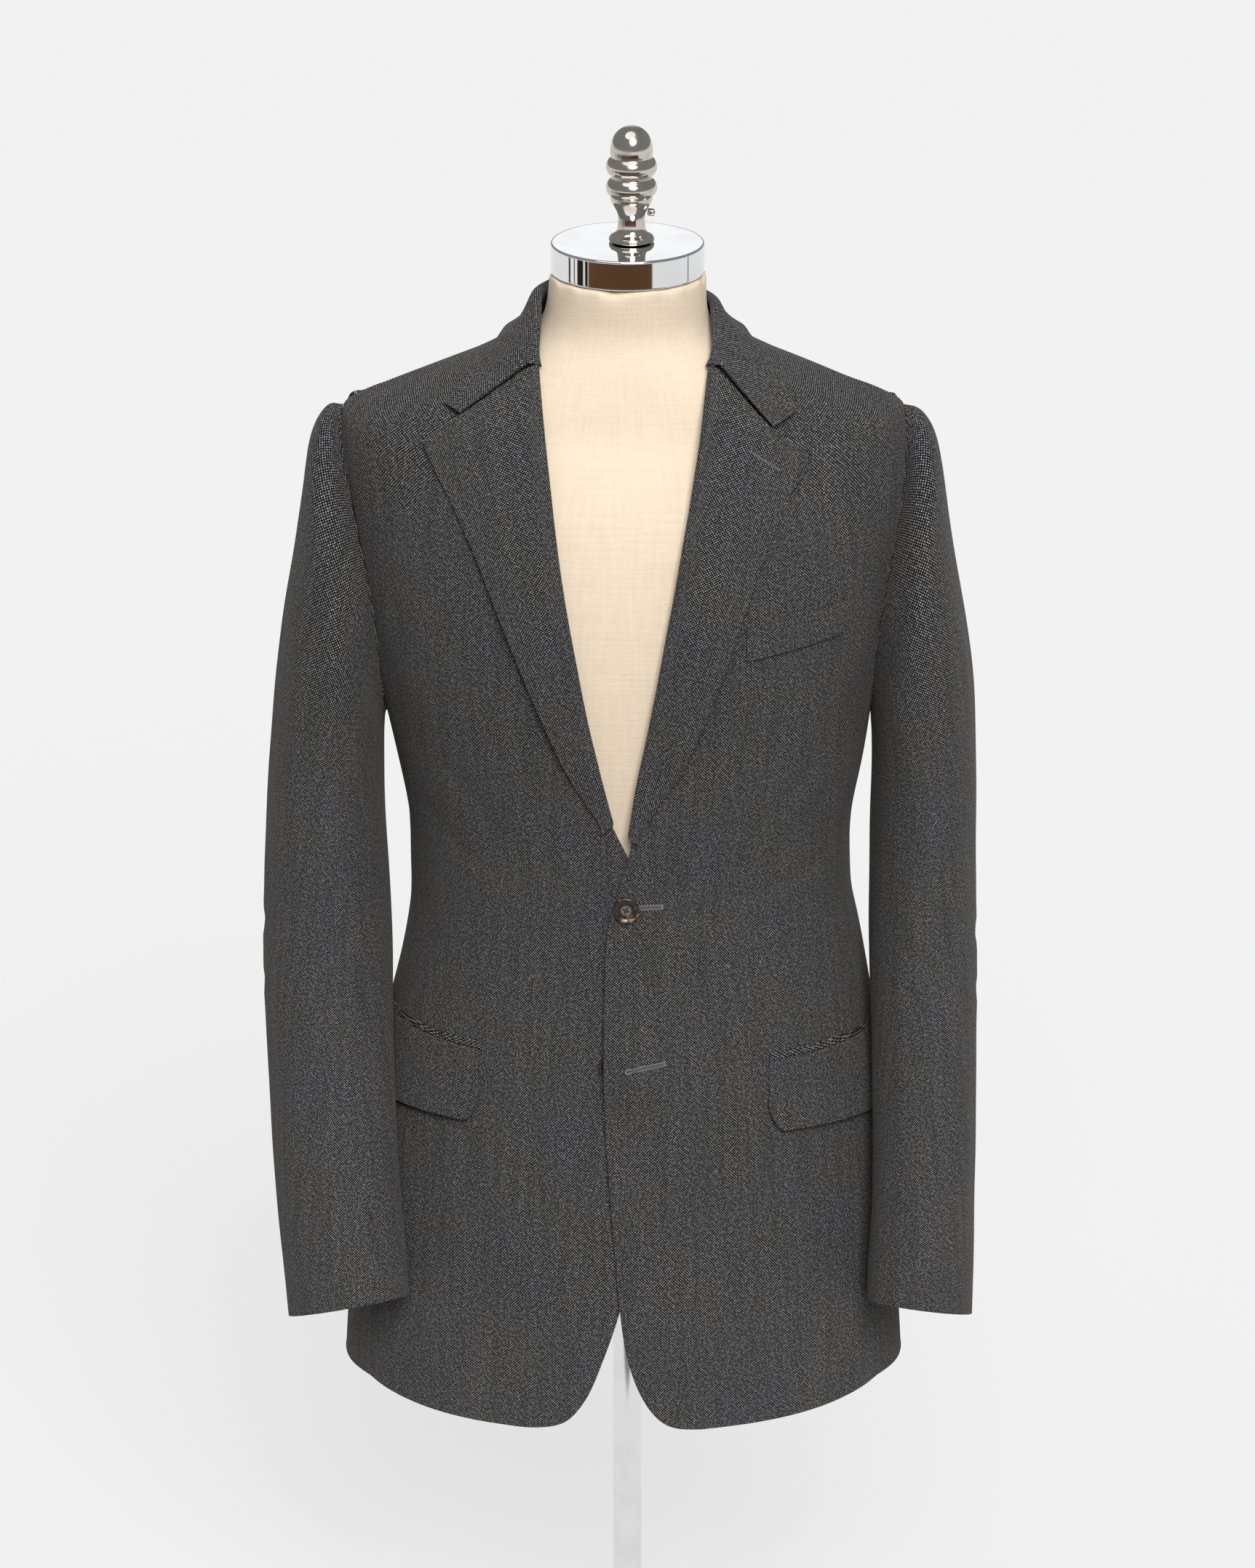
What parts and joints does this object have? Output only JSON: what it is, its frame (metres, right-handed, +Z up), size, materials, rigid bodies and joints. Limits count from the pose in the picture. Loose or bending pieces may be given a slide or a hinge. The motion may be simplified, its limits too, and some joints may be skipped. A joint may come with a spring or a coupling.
{
  "type": "tweed jacket on dress form",
  "caption": "Tweed jacket with notched lapels, welt and flap pockets and a cutaway front, worn by a limbless dress form on a round-footed stand.",
  "frame": {"origin": "centre of the base's flat underside, on the floor", "axes": "+Z up along the stand, -Y towards the jacket's front, +X towards the wearer's left"},
  "size_m": [0.5373, 0.32, 1.2531],
  "materials": {
    "tweed": "matte woven wool",
    "linen": "matte woven linen",
    "chrome": "polished",
    "nickel": "polished",
    "horn": "satin"
  },
  "bodies": {
    "root": {"back_left": "tweed", "back_right": "tweed", "breast_welt": "tweed", "collar": "tweed", "flap_left": "tweed", "flap_right": "tweed", "front_left": "tweed", "front_right": "tweed", "jet_left": "tweed", "jet_right": "tweed", "lapel_left": "tweed", "lapel_right": "tweed", "side_left": "tweed", "side_right": "tweed", "sleeve_top_left": "tweed", "sleeve_top_right": "tweed", "sleeve_under_left": "tweed", "sleeve_under_right": "tweed", "button_lower": "horn", "button_top": "horn", "form_torso": "linen", "base": "chrome", "pole": "chrome", "neck_cap": "chrome", "finial": "nickel", "finial_screw": "nickel"}
  },
  "joints": []
}
